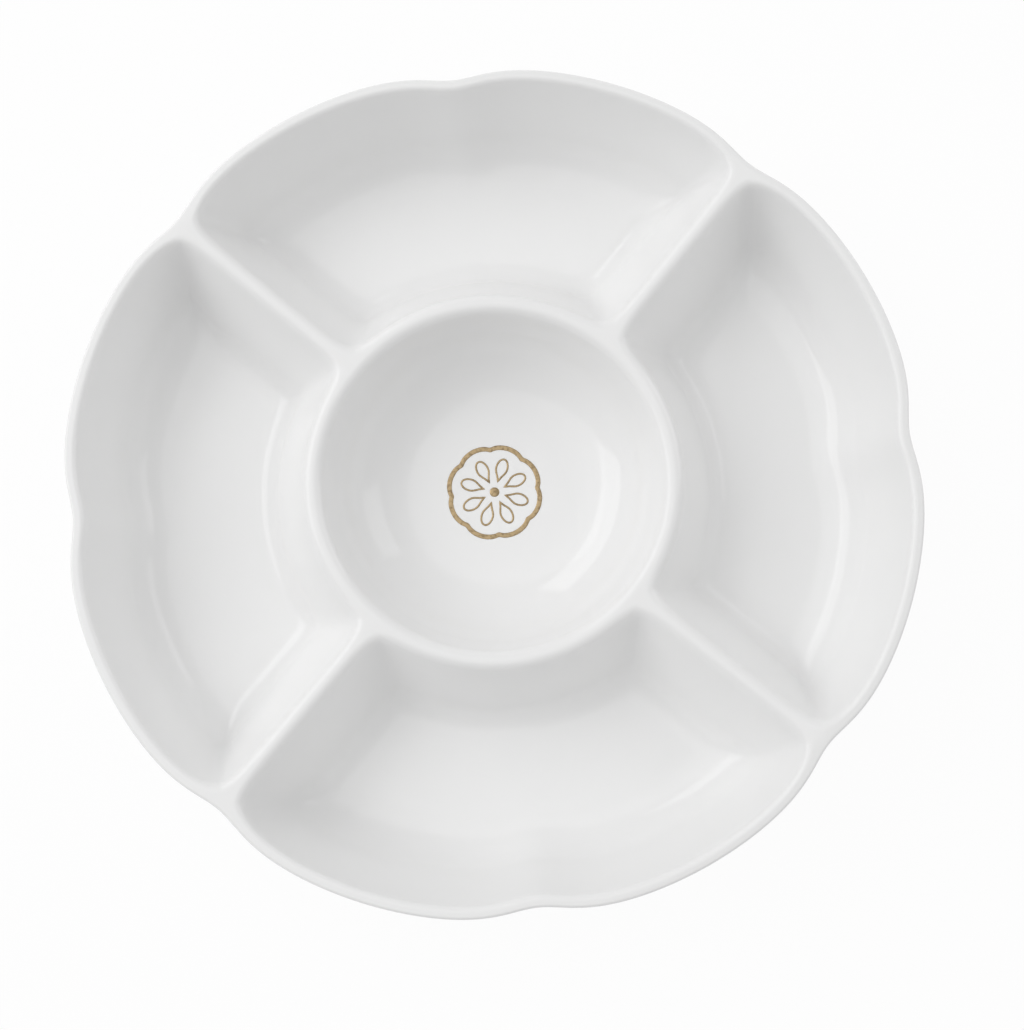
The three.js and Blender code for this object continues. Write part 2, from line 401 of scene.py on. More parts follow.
@dataclass(frozen=True)
class Glaze:
    """Clear gloss glaze over white porcelain: thicker and cooler in the hollows, thinner on the crests."""

    white: tuple[float, float, float] = (0.91, 0.91, 0.908)
    pooled: tuple[float, float, float] = (0.895, 0.897, 0.897)
    thinned: tuple[float, float, float] = (0.915, 0.914, 0.91)
    clouded: tuple[float, float, float] = (0.895, 0.895, 0.895)
    cloud_share: float = 0.35
    roughness: float = 0.08
    ior: float = 1.47
    ripple: float = 0.05
    ripple_depth: float = 0.4 * MM

    def material(self) -> bpy.types.Material:
        """Builds the finish.

        Returns:
            The glaze's material.
        """
        paint = Paint("clear_glaze")
        pool = paint.node("ShaderNodeAttribute", attribute_name="pool").outputs["Fac"]
        drift = paint.noise(scale=38.0, detail=3.0)
        hollow = paint.mix(self.white, self.pooled, paint.ramp(pool, 0.0, 1.0))
        crest = paint.mix(hollow, self.thinned, paint.ramp(pool, 0.0, -1.0))
        paint.coat("Base Color", paint.mix(crest, self.clouded, paint.ramp(drift, 0.45, 0.8), self.cloud_share))
        wavering = paint.noise(scale=160.0, detail=2.0)
        paint.coat("Roughness", paint.spread(wavering, self.roughness * 0.7, self.roughness * 1.35))
        paint.coat("IOR", self.ior)
        paint.bump(paint.noise(scale=55.0, detail=1.5), self.ripple, self.ripple_depth)
        return paint.material


@dataclass(frozen=True)
class Biscuit:
    """Porcelain wiped free of glaze: warm, dry and finely grained."""

    colour: tuple[float, float, float] = (0.72, 0.68, 0.6)
    soiled: tuple[float, float, float] = (0.6, 0.56, 0.49)
    soiled_share: float = 0.6
    roughness: float = 0.62
    grain: float = 0.3
    grain_depth: float = 0.1 * MM

    def material(self) -> bpy.types.Material:
        """Builds the finish.

        Returns:
            The bare porcelain's material.
        """
        paint = Paint("bare_porcelain")
        grain = paint.noise(scale=2400.0, detail=4.0)
        stain = paint.noise(scale=90.0, detail=4.0)
        paint.coat("Base Color", paint.mix(self.colour, self.soiled, paint.ramp(stain, 0.5, 0.75), self.soiled_share))
        paint.coat("Roughness", paint.spread(grain, self.roughness - 0.1, self.roughness + 0.12))
        paint.bump(grain, self.grain, self.grain_depth)
        return paint.material


@dataclass(frozen=True)
class OverglazeGold:
    """Burnished gold fired on the glaze, a little thin and brown in places."""

    bright: tuple[float, float, float] = (0.44, 0.33, 0.19)
    thin: tuple[float, float, float] = (0.27, 0.195, 0.11)
    roughness: float = 0.3
    scratch: float = 0.12
    scratch_depth: float = 0.05 * MM

    def material(self) -> bpy.types.Material:
        """Builds the finish.

        Returns:
            The gold's material.
        """
        paint = Paint("overglaze_gold")
        worn = paint.noise(scale=900.0, detail=4.0)
        paint.coat("Base Color", paint.mix(self.bright, self.thin, paint.ramp(worn, 0.48, 0.72)))
        paint.coat("Metallic", 1.0)
        paint.coat("Roughness", paint.spread(worn, self.roughness - 0.1, self.roughness + 0.15))
        paint.bump(paint.noise(scale=3200.0, detail=2.0), self.scratch, self.scratch_depth)
        return paint.material


class Paint(Wiring):
    """A shader under construction on one Principled node, patterned in the piece's own coordinates."""

    def __init__(self, name: str) -> None:
        """Starts a material.

        Args:
            name: the material's name.
        """
        self.material = bpy.data.materials.new(name)
        self.material.use_nodes = True
        super().__init__(self.material.node_tree)
        self.shader = self.tree.nodes["Principled BSDF"]
        self.place = self.node("ShaderNodeTexCoord").outputs["Object"]

    def coat(self, name: str, value: object) -> None:
        """Links a pattern to one of the shader's inputs, or sets the input to a plain value."""
        self.feed(self.shader.inputs[name], value)

    def noise(self, scale: float, detail: float) -> Field:
        """A cloudy pattern.

        Args:
            scale: clouds per metre.
            detail: how many finer layers it has.

        Returns:
            The pattern, about 0 to 1.
        """
        made = self.node("ShaderNodeTexNoise")
        for name, value in (("Vector", self.place), ("Scale", scale), ("Detail", detail)):
            self.feed(made.inputs[name], value)
        return Field(self, made.outputs["Fac"])

    def spread(self, value: Field, low: float, high: float) -> Field:
        """Spreads a pattern's middle, 0.3 to 0.7, evenly over a range."""
        return self.ramp(value, 0.3, 0.7, (low, high), "LINEAR")

    def ramp(self, value: object, start: float, stop: float, ends: tuple[float, float] = (0.0, 1.0),
             easing: str = "SMOOTHSTEP") -> Field:
        """Maps a pattern to a range and holds the result inside it.

        Args:
            value: the pattern's field or socket.
            start: the pattern's value where the range begins.
            stop: the pattern's value where the range ends.
            ends: the results at start and at stop.
            easing: how the result goes from one to the other.

        Returns:
            The result.
        """
        made = self.node("ShaderNodeMapRange", interpolation_type=easing)
        names = ("Value", "From Min", "From Max", "To Min", "To Max")
        for name, number in zip(names, (value, start, stop, *ends)):
            self.feed(made.inputs[name], number)
        return Field(self, made.outputs["Result"])

    def mix(self, first: object, second: object, share: Field, strength: float = 1.0) -> Field:
        """Mixes two colours.

        Args:
            first: colour or field at share 0.
            second: colour or field at share 1.
            share: how much of the second shows.
            strength: the most that the second may show.

        Returns:
            The mixed colour.
        """
        made = self.node("ShaderNodeMix", data_type="RGBA")
        self.feed(made.inputs["Factor"], share * strength)
        for socket, colour in zip((made.inputs[6], made.inputs[7]), (first, second)):
            self.feed(socket, colour if isinstance(colour, Field) else (*colour, 1.0))
        return Field(self, made.outputs[2])

    def bump(self, height: Field, strength: float, depth: float) -> None:
        """Roughens the surface.

        Args:
            height: pattern of heights.
            strength: how much of it shows.
            depth: height of the pattern's full range, in metres.
        """
        made = self.node("ShaderNodeBump")
        for name, value in (("Height", height), ("Strength", strength), ("Distance", depth)):
            self.feed(made.inputs[name], value)
        self.coat("Normal", made.outputs["Normal"])


def arc(centre: Point, radius: float, turns: Point, count: int) -> list[Point]:
    """Points on an arc of a section; turn 0 points straight down and a quarter turn points outwards.

    Args:
        centre: reach and height of the arc's middle.
        radius: the arc's radius.
        turns: first and last turn, in radians.
        count: steps.

    Returns:
        Reach and height of each point, both ends included.
    """
    start, stop = turns
    steps = [start + (stop - start) * i / count for i in range(count + 1)]
    return [(centre[0] + radius * math.sin(t), centre[1] - radius * math.cos(t)) for t in steps]


def line(start: Point, stop: Point, count: int) -> list[Point]:
    """Points spread evenly from start to stop, without the ends."""
    return [tuple(a + (b - a) * i / count for a, b in zip(start, stop)) for i in range(1, count)]


def slope_of(run: float, rise: float, hollow: float, crest: float) -> float:
    """Steepness of the line that touches a wall's hollow and its crest.

    Args:
        run: from the edge of the floor to the middle of the crest, level.
        rise: from the floor to the top of the crest.
        hollow: radius at the floor.
        crest: radius at the top.

    Returns:
        The angle above level, in radians.
    """
    lift = rise - hollow - crest
    return math.atan2(lift, run) + math.asin((hollow + crest) / math.hypot(run, lift))


@dataclass
class Swept:
    """A piece swept round the upright axis from a section, with petal notches where it has them."""

    name: str
    slot: Slot
    nodes: tuple[str, ...]
    columns: int = 128
    petals: float = 8.0
    notch_depth: float = 0.0
    notch_reach: float = 8.3 * MM
    notch_rounding: float = 11.0 * MM
    notch_radius: float = 140.0 * MM
    merge: float = 2e-6

    def section(self) -> list[Row]:
        """The section's points, closed or from axis to axis, with the solid on their left."""
        raise NotImplementedError

    def angle(self, graph: Graph, column: Field, columns: Field) -> Field:
        """The direction of a column: evenly spread unless a piece crowds them."""
        return column / columns * math.tau

    def notch(self, graph: Graph, angle: Field) -> Field:
        """How strongly a notch draws in at an angle: 1 in a notch, 0 far from it.

        Args:
            graph: the piece's graph.
            angle: direction round the axis.

        Returns:
            The strength as a field.
        """
        pitch = math.tau / graph.named("Petals", self.petals)
        rounding = graph.named("Notch rounding", self.notch_rounding)
        reach = graph.named("Notch reach", self.notch_reach)
        away = (angle - pitch * (angle / pitch).whole()) * graph.named("Notch radius", self.notch_radius)
        return ((rounding - (away * away + rounding * rounding).root()) / reach).exp()

    def shape(self, graph: Graph, geometry: object, angle: Field, reach: Field, row: Field, strength: Field) -> object:
        """Bends the net to the section; a piece with hollows adds its own rule.

        Args:
            graph: the piece's graph.
            geometry: the flat net.
            angle: direction of each vertex.
            reach: distance of each vertex from the axis.
            row: row of each vertex.
            strength: notch strength at each vertex; not used here.

        Returns:
            The bent geometry's socket.
        """
        place = graph.node("GeometryNodeInputPosition").outputs[0]
        height = graph.parts(graph.from_section(place, row, "FLOAT_VECTOR"))[2]
        return graph.bend(geometry, angle, reach, height)

    def build(self, material: bpy.types.Material) -> bpy.types.Object:
        """Sweeps the section into a plain mesh and hands the piece to the frame.

        Args:
            material: the piece's finish.

        Returns:
            The finished object.
        """
        rows = self.section()
        mesh = bpy.data.meshes.new(f"{self.name}_section")
        mesh.from_pydata([(r.reach, 0.0, r.height) for r in rows], [(i, i + 1) for i in range(len(rows) - 1)], [])
        for name, values in (("petal", [r.petal for r in rows]), ("open", [r.side.value for r in rows])):
            mesh.attributes.new(name, "FLOAT", "POINT").data.foreach_set("value", values)
        piece = bpy.data.objects.new(self.name, mesh)
        bpy.context.scene.collection.objects.link(piece)
        graph = Graph(f"{self.name}_sweep")
        columns = graph.named("Columns", self.columns, "Int")
        net, column, row = graph.net(columns)
        angle = self.angle(graph, column, columns)
        strength = self.notch(graph, angle)
        place = graph.node("GeometryNodeInputPosition").outputs[0]
        reach = graph.parts(graph.from_section(place, row, "FLOAT_VECTOR"))[0]
        petal = Field(graph, graph.from_section(graph.attribute("petal"), row))
        drawn = reach - petal * strength * graph.named("Notch depth", self.notch_depth)
        bent = self.shape(graph, net, angle, drawn, row, strength)
        graph.end(bent, graph.named("Finish", material, "Material"), self.merge)
        piece.data = graph.run(piece)
        piece.data.name = self.name
        return hand_over(piece, self.nodes)


def hand_over(piece: bpy.types.Object, nodes: tuple[str, ...]) -> bpy.types.Object:
    """Ties a finished piece to the frame.

    Args:
        piece: the finished object.
        nodes: the solids that it stands for.

    Returns:
        The same object.
    """
    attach(piece, BODY)
    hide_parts(*nodes)
    piece.data.calc_loop_triangles()
    LOG.info("%s: %d triangles for %s", piece.name, len(piece.data.loop_triangles), ", ".join(nodes))
    return piece


class Wall(NamedTuple):
    """One wall of a compartment as fields: the share of it that is climbed at a vertex, and its measures.

    The share is 0 at the edge of the floor and 1 at the middle of the crest.
    """

    share: Field
    top: Field
    run: Field
    hollow: Field
    crest: Field


@dataclass
class PorcelainBody(Swept):
    """The glazed dish: petal-edged tray, round bowl and dividers under one skin."""

    columns: int = 512
    notch_depth: float = 3.9 * MM
    floor_notch: float = 3.4 * MM
    rim_radius: float = 140.0 * MM
    wall: float = 4.0 * MM
    wall_run: float = 26.0 * MM
    lip_land: float = 1.1 * MM
    lip_edge: float = 1.0 * MM
    wall_hollow: float = 15.0 * MM
    hollow: float = 10.5 * MM
    ring_radius: float = 59.5 * MM
    ring_crest: float = 3.7 * MM
    ring_run: float = 24.3 * MM
    bowl_run: float = 33.0 * MM
    bowl_hollow: float = 28.0 * MM
    divider_crest: float = 3.4 * MM
    divider_run: float = 25.0 * MM
    divider_sag: float = 0.9 * MM
    corner_low: float = 0.09
    corner_high: float = 0.17
    apex: float = 3.0 * MM
    compartments: float = 4.0
    crowd_ridges: float = 0.3
    crowd_notches: float = 0.45

    def __post_init__(self) -> None:
        """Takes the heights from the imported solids."""
        self.rim_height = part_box("tray")[1].z
        self.floor_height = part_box("divider_back_left")[0].z
        self.ring_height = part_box("centre_bowl")[1].z
        self.bowl_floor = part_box("gilt_band")[0].z
        self.lip = self.rim_radius - self.lip_edge - self.lip_land
        self.floor_radius = self.rim_radius - self.wall_run
        self.ring_foot = self.ring_radius + self.ring_run
        self.bowl_radius = self.ring_radius - self.bowl_run
        self.wall_slope = slope_of(
            self.lip - self.floor_radius, self.rim_height - self.floor_height, self.wall_hollow, self.wall / 2)
        self.ring_slope = slope_of(
            self.ring_run, self.ring_height - self.floor_height, self.hollow, self.ring_crest)
        self.bowl_slope = slope_of(
            self.bowl_run, self.ring_height - self.bowl_floor, self.bowl_hollow, self.ring_crest)

    def open_side(self) -> list[Row]:
        """Rows from the middle of the bowl out to the top of the rim, close together on the curves.

        Returns:
            The rows; their heights come from the rule for walls.
        """
        bowl, ring, rim = self.bowl_slope, self.ring_slope, self.wall_slope
        knee = self.bowl_radius + self.bowl_hollow * math.sin(bowl)
        reaches = [self.bowl_radius * i / 6 for i in range(6)]
        reaches += [p[0] for p in arc((self.bowl_radius, 0), self.bowl_hollow, (0, bowl), 9)]
        reaches += [p[0] for p in line((knee, 0), (self.ring_radius - self.ring_crest * math.sin(bowl), 0), 10)]
        reaches += [p[0] for p in arc((self.ring_radius, 0), self.ring_crest, (-bowl, ring), 18)]
        shoulder = self.ring_radius + self.ring_crest * math.sin(ring)
        reaches += [p[0] for p in line((shoulder, 0), (self.ring_foot - self.hollow * math.sin(ring), 0), 10)]
        reaches += [p[0] for p in arc((self.ring_foot, 0), self.hollow, (-ring, 0), 9)]
        reaches += [p[0] for p in line((self.ring_foot, 0), (self.floor_radius, 0), 14)]
        reaches += [p[0] for p in arc((self.floor_radius, 0), self.wall_hollow, (0, rim), 12)]
        foot = self.floor_radius + self.wall_hollow * math.sin(rim)
        reaches += [p[0] for p in line((foot, 0), (self.lip - self.wall / 2 * math.sin(rim), 0), 12)]
        reaches += [p[0] for p in arc((self.lip, 0), self.wall / 2, (-rim, 0), 9)]
        span = self.lip - self.ring_radius
        return [Row(r, 0.0, max(0.0, (r - self.ring_radius) / span), Side.OPEN) for r in reaches]

    def underside(self) -> list[Row]:
        """Rows from the top of the rim down the outside and in under the dish to the middle.

        Returns:
            The rows with their heights.
        """
        bowl, ring, rim, wall = self.bowl_slope, self.ring_slope, self.wall_slope, self.wall
        outer = (self.floor_radius, self.floor_height + self.wall_hollow)
        inner = (self.ring_foot, self.floor_height + self.hollow)
        under = (self.bowl_radius, self.bowl_floor + self.bowl_hollow)
        fade = self.floor_notch / self.notch_depth
        corner = self.rim_radius - self.lip_edge
        lip = line((self.lip, self.rim_height), (corner, self.rim_height), 3)
        lip += arc((corner, self.rim_height - self.lip_edge), self.lip_edge, (math.pi, rim), 8)
        turn = arc(outer, self.wall_hollow + wall, (rim, 0), 8)
        flank = line(lip[-1], turn[0], 8)
        rows = [Row(r, z, 1.0) for r, z in lip]
        rows += [Row(r, z, 1.0 + (fade - 1.0) * (i + 1) / len(flank)) for i, (r, z) in enumerate(flank)]
        rows += [Row(r, z, fade) for r, z in turn]
        collar = arc(inner, self.hollow + wall, (0, -ring), 8)
        sole = line(turn[-1], collar[0], 7)
        rows += [Row(r, z, fade * max(0.0, 1 - 3 * (i + 1) / len(sole))) for i, (r, z) in enumerate(sole)]
        bowl_turn = arc(under, self.bowl_hollow + wall, (bowl, 0), 8)
        groove = arc(self.groove_centre(collar[-1], bowl_turn[0]), self.apex, (math.pi - bowl, math.pi + ring), 8)[::-1]
        rows += [Row(r, z) for r, z in collar + line(collar[-1], groove[0], 4) + groove]
        rows += [Row(r, z) for r, z in line(groove[-1], bowl_turn[0], 4) + bowl_turn]
        middle = bowl_turn[-1]
        return rows + [Row(middle[0] * (1 - i / 4), middle[1]) for i in range(1, 5)]

    def groove_centre(self, collar: Point, bowl: Point) -> Point:
        """Middle of the round that closes the groove between the collar and the bowl from below.

        Args:
            collar: a point of the collar's underside.
            bowl: a point of the bowl's underside.

        Returns:
            Reach and height of the round's middle.
        """
        ring, cup = self.ring_slope, self.bowl_slope
        first = (-math.sin(ring), -math.cos(ring))
        second = (math.sin(cup), -math.cos(cup))
        a = first[0] * collar[0] + first[1] * collar[1] + self.apex
        b = second[0] * bowl[0] + second[1] * bowl[1] + self.apex
        spread = first[0] * second[1] - first[1] * second[0]
        return (a * second[1] - b * first[1]) / spread, (first[0] * b - second[0] * a) / spread

    def section(self) -> list[Row]:
        """The whole section, from the middle underneath over the rim to the middle of the bowl."""
        return [*self.open_side(), *self.underside()][::-1]

    def angle(self, graph: Graph, column: Field, columns: Field) -> Field:
        """Crowds the columns where a divider or a notch needs them.

        Args:
            graph: the body's graph.
            column: number of the column.
            columns: how many there are.

        Returns:
            The column's direction.
        """
        sectors = graph.named("Compartments", self.compartments)
        ridges = graph.named("Crowding at ridges", self.crowd_ridges)
        notches = graph.named("Crowding at notches", self.crowd_notches)
        sector = column / columns * sectors
        middle = sector.whole()
        share = (sector - middle) * 2.0
        crowded = share + ridges / math.pi * (share * math.pi).sin() - notches / math.tau * (share * math.tau).sin()
        return (middle + crowded * 0.5) * math.tau / sectors

    def climb(self, graph: Graph, wall: Wall, floor: Field) -> Field:
        """Height of a wall's face: through its hollow, up the slope that touches both rounds, and over its crest.

        Args:
            graph: the body's graph.
            wall: the wall at each vertex.
            floor: height of the floor.

        Returns:
            The height.
        """
        run, hollow, crest = wall.run, wall.hollow, wall.crest
        lift = wall.top - floor - hollow - crest
        lean = (hollow + crest) / (run * run + lift * lift).root()
        slope = graph.maths("ARCTAN2", lift, run) + graph.maths("ARCSINE", lean)
        sine, cosine = slope.sin(), slope.cos()
        low, high = hollow * sine, run - crest * sine
        inside = wall.share * run
        curved = inside.between(0.0, low)
        straight = inside.between(low, high) - low
        short = run - inside.between(high, run)
        hollow_rise = hollow - (hollow * hollow - curved * curved).root()
        crest_rise = (crest * crest - short * short).root() - crest * cosine
        return floor + hollow_rise + straight * sine / cosine + crest_rise

    @staticmethod
    def meet(walls: list[Wall], low: Field, high: Field) -> Wall:
        """Rounds walls that meet into each other, more softly towards their crests.

        Args:
            walls: the walls round a compartment.
            low: how softly they meet at the floor, as a share of a wall.
            high: how softly they meet at the crest.

        Returns:
            One wall that turns smoothly from each into the next.
        """
        highest = walls[0].share
        for wall in walls[1:]:
            highest = highest.most(wall.share)
        climbed = highest.between(0.0, 1.0)
        corner = low.mixed(high, climbed * climbed * climbed)
        pulls = [((wall.share - highest) / corner).exp() for wall in walls]
        total = sum(pulls[1:], pulls[0])
        blended = []
        for values in zip(*(wall[1:] for wall in walls)):
            weighed = [value * pull for value, pull in zip(values, pulls)]
            blended.append(sum(weighed[1:], weighed[0]) / total)
        return Wall(highest + corner * total.log(), *blended)

    def shape(self, graph: Graph, geometry: object, angle: Field, reach: Field, row: Field, strength: Field) -> object:
        """Bends the net, with the compartments, the ring and the bowl on its open side.

        Args:
            graph: the body's graph.
            geometry: the flat net.
            angle: direction of each vertex.
            reach: distance of each vertex from the axis.
            row: row of each vertex.
            strength: notch strength at each vertex.

        Returns:
            The bent geometry's socket.
        """
        floor = graph.named("Floor height", self.floor_height)
        wall_hollow = graph.named("Wall hollow", self.wall_hollow)
        hollow = graph.named("Hollow radius", self.hollow)
        rim_top = graph.named("Rim height", self.rim_height)
        lip_crest = graph.named("Lip radius", self.wall / 2)
        ring_radius = graph.named("Ring radius", self.ring_radius)
        ring_top = graph.named("Ring height", self.ring_height)
        ring_crest = graph.named("Ring crest", self.ring_crest)
        ring_run = graph.named("Ring run", self.ring_run)
        divider_run = graph.named("Divider run", self.divider_run)
        divider_crest = graph.named("Divider crest", self.divider_crest)
        lip = graph.named("Lip reach", self.lip) - strength * graph.named("Rim notch", self.notch_depth)
        edge = graph.named("Floor reach", self.floor_radius) - strength * graph.named("Floor notch", self.floor_notch)

        wall_run = lip - edge
        outer = Wall((reach - edge) / wall_run, rim_top, wall_run, wall_hollow, lip_crest)
        ring = Wall(1.0 - (reach - ring_radius) / ring_run, ring_top, ring_run, hollow, ring_crest)
        quarter = math.tau / self.compartments
        from_ridge = angle / quarter - 0.5
        beside = reach * ((from_ridge - from_ridge.whole()) * quarter).sin().size()
        along = ((reach - ring_radius) / (lip - ring_radius)).between(0.0, 1.0)
        sag = along * (1.0 - along) * 4.0 * graph.named("Divider sag", self.divider_sag)
        ridge_top = ring_top.mixed(rim_top, along) - sag
        divider = Wall(1.0 - beside / divider_run, ridge_top, divider_run, hollow, divider_crest)
        low = graph.named("Corner at the floor", self.corner_low)
        high = graph.named("Corner at the crest", self.corner_high)
        cell = self.meet([outer, ring, divider], low, high)

        bowl_floor = graph.named("Bowl floor", self.bowl_floor)
        bowl_run = graph.named("Bowl run", self.bowl_run)
        bowl_hollow = graph.named("Bowl hollow", self.bowl_hollow)
        cup_share = (reach - ring_radius) / bowl_run + 1.0
        cup = Wall(cup_share, ring_top, bowl_run, bowl_hollow, ring_crest)

        in_cup = reach.below(ring_radius)
        open_height = self.climb(graph, cell, floor).mixed(self.climb(graph, cup, bowl_floor), in_cup)
        place = graph.node("GeometryNodeInputPosition").outputs[0]
        section_height = graph.parts(graph.from_section(place, row, "FLOAT_VECTOR"))[2]
        is_open = Field(graph, graph.from_section(graph.attribute("open"), row))
        bent = graph.bend(geometry, angle, reach, section_height.mixed(open_height, is_open))

        share = cell.share.mixed(cup.share, in_cup)
        run = cell.run.mixed(cup.run, in_cup)
        pooled = self.bell(share * run - hollow * 0.4, hollow * 0.5)
        thinned = self.bell(((1.0 - share) * run).most(0.0), ring_crest)
        return graph.store(bent, "pool", (pooled - thinned) * is_open)

    @staticmethod
    def bell(distance: Field, width: Field) -> Field:
        """One at distance 0, falling smoothly to nothing past the width."""
        share = distance / width
        return (share * share * -1.0).exp()


@dataclass
class FootRing(Swept):
    """The low ring that the dish stands on, rounded where it was wiped."""

    columns: int = 192
    width: float = 6.0 * MM
    taper: float = 0.9 * MM
    edge: float = 0.7 * MM

    def section(self) -> list[Row]:
        """The ring's section, closed on itself.

        Returns:
            The rows.
        """
        low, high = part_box("foot_ring")
        middle = high.x - self.width / 2
        half = self.width / 2
        foot = half - self.taper
        outer = arc((middle + foot - self.edge, low.z + self.edge), self.edge, (0, math.pi / 2), 6)
        inner = arc((middle - foot + self.edge, low.z + self.edge), self.edge, (-math.pi / 2, 0), 6)
        top = [(middle + half, high.z), (middle - half, high.z)]
        points = inner + outer + top
        return [Row(r, z) for r, z in points + points[:1]]


@dataclass
class GiltBand(Swept):
    """A petal-edged line of gold round the rosette."""

    columns: int = 256
    width: float = 1.7 * MM
    lift: float = 0.16 * MM
    fullness: float = 0.3
    steps: int = 8
    radius: float = 17.0 * MM
    notch_depth: float = 1.1 * MM
    notch_reach: float = 2.2 * MM
    notch_rounding: float = 0.5 * MM
    notch_radius: float = 17.0 * MM

    def section(self) -> list[Row]:
        """A low rounded line, sunk a little into the glaze.

        Returns:
            The rows, closed on themselves.
        """
        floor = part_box("gilt_band")[0].z
        middle, half = self.radius - self.width / 2, self.width / 2
        turns = [math.pi * i / self.steps for i in range(self.steps + 1)]
        crown = [(middle + half * math.cos(t), floor + self.lift * math.sin(t) ** self.fullness) for t in turns]
        sole = [(middle - half, floor - self.lift / 2), (middle + half, floor - self.lift / 2)]
        return [Row(r, z, 1.0) for r, z in [*crown, *sole, crown[0]]]


@dataclass
class GiltBead(Swept):
    """The dot of gold in the middle."""

    columns: int = 48
    radius: float = 1.7 * MM
    lift: float = 0.3 * MM
    steps: int = 8

    def section(self) -> list[Row]:
        """A low dome from the axis to the axis.

        Returns:
            The rows.
        """
        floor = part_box("gilt_bead")[0].z
        turns = [math.pi / 2 * i / self.steps for i in range(self.steps + 1)]
        dome = [(self.radius * math.cos(t), floor + self.lift * math.sin(t)) for t in turns]
        points = [(0.0, floor - self.lift / 3), (self.radius, floor - self.lift / 3), *dome]
        return [Row(max(0.0, r), z) for r, z in points]


@dataclass
class GiltPetals:
    """Outlined petals of gold between the bead and the band, set round the axis as instances."""

    count: int = 8
    start: float = 3.4 * MM
    length: float = 9.0 * MM
    width: float = 4.6 * MM
    stroke: float = 0.7 * MM
    lift: float = 0.14 * MM
    belly: float = 0.62

    def outline(self) -> bpy.types.Object:
        """Draws one petal's centre line as a closed curve.

        Returns:
            The curve's object.
        """
        half = (self.width - self.stroke) / 2
        near, far = self.start + self.stroke / 2, self.start + self.length - self.stroke / 2
        wide = near + (far - near) * self.belly
        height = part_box("gilt_petal_1")[0].z
        knots = [
            ((near, 0.0), (near + (wide - near) * 0.5, half * 0.3), (near + (wide - near) * 0.5, -half * 0.3)),
            ((wide, -half), (wide - half * 1.1, -half), (wide + half * 0.8, -half)),
            ((far, 0.0), (far, -half * 0.6), (far, half * 0.6)),
            ((wide, half), (wide + half * 0.8, half), (wide - half * 1.1, half)),
        ]
        curve = bpy.data.curves.new("gilt_petal_outline", "CURVE")
        curve.dimensions = "3D"
        curve.resolution_u = 10
        spline = curve.splines.new("BEZIER")
        spline.bezier_points.add(len(knots) - 1)
        spline.use_cyclic_u = True
        for point, (place, left, right) in zip(spline.bezier_points, knots):
            point.handle_left_type = point.handle_right_type = "FREE"
            point.co = (*place, height)
            point.handle_left = (*left, height)
            point.handle_right = (*right, height)
        holder = bpy.data.objects.new("gilt_petal_outline", curve)
        bpy.context.scene.collection.objects.link(holder)
        return holder

    def graph(self, material: bpy.types.Material) -> Graph:
        """Builds the tree that thickens the outline and sets it round the axis.

        Args:
            material: the gold.

        Returns:
            The finished graph.
        """
        graph = Graph("gilt_petals_ring")
        stroke = graph.named("Stroke", self.stroke)
        lift = graph.named("Lift", self.lift)
        count = graph.named("Petals", self.count, "Int")
        finish = graph.named("Finish", material, "Material")
        bar = graph.node("GeometryNodeCurvePrimitiveCircle", mode="RADIUS")
        bar.inputs["Resolution"].default_value = 10
        graph.feed(bar.inputs["Radius"], stroke * 0.5)
        flat = graph.node("GeometryNodeTransform")
        graph.feed(flat.inputs["Geometry"], bar.outputs["Curve"])
        squash = graph.node("ShaderNodeCombineXYZ")
        for socket, value in zip(squash.inputs, (1.0, lift / (stroke * 0.5), 1.0)):
            graph.feed(socket, value)
        graph.feed(flat.inputs["Scale"], squash.outputs[0])
        swept = graph.node("GeometryNodeCurveToMesh")
        graph.feed(swept.inputs["Curve"], graph.entry.outputs["Section"])
        graph.feed(swept.inputs["Profile Curve"], flat.outputs["Geometry"])
        spots = graph.node("GeometryNodePoints")
        graph.feed(spots.inputs["Count"], count)
        spokes = graph.node("GeometryNodeInstanceOnPoints")
        graph.feed(spokes.inputs["Points"], spots.outputs[0])
        graph.feed(spokes.inputs["Instance"], swept.outputs["Mesh"])
        number = Field(graph, graph.node("GeometryNodeInputIndex").outputs[0])
        turn = graph.node("ShaderNodeCombineXYZ")
        graph.feed(turn.inputs[2], (number + 0.5) / count * math.tau)
        graph.feed(spokes.inputs["Rotation"], turn.outputs[0])
        real = graph.node("GeometryNodeRealizeInstances")
        graph.feed(real.inputs["Geometry"], spokes.outputs["Instances"])
        graph.end(real.outputs["Geometry"], finish, 1e-6)
        return graph

    def build(self, material: bpy.types.Material) -> bpy.types.Object:
        """Makes the ring of petals.

        Args:
            material: the gold.

        Returns:
            The finished object.
        """
        holder = self.outline()
        mesh = self.graph(material).run(holder)
        bpy.data.objects.remove(holder)
        piece = bpy.data.objects.new("gilt_petals", mesh)
        bpy.context.scene.collection.objects.link(piece)
        nodes = tuple(f"gilt_petal_{i + 1}" for i in range(self.count))
        return hand_over(piece, nodes)


@dataclass(frozen=True)
class SoftBox:
    """A large lamp: where it hangs, how wide it is, and how much it gives."""

    name: str
    place: tuple[float, float, float]
    width: float
    height: float
    watts: float

    def hang(self) -> None:
        """Adds the lamp, turned towards the dish."""
        lamp = bpy.data.lights.new(self.name, "AREA")
        lamp.shape = "RECTANGLE"
        lamp.size, lamp.size_y, lamp.energy = self.width, self.height, self.watts
        holder = bpy.data.objects.new(self.name, lamp)
        holder.location = self.place
        holder.rotation_mode = "QUATERNION"
        holder.rotation_quaternion = (-Vector(self.place)).to_track_quat("-Z", "Y")
        bpy.context.scene.collection.objects.link(holder)


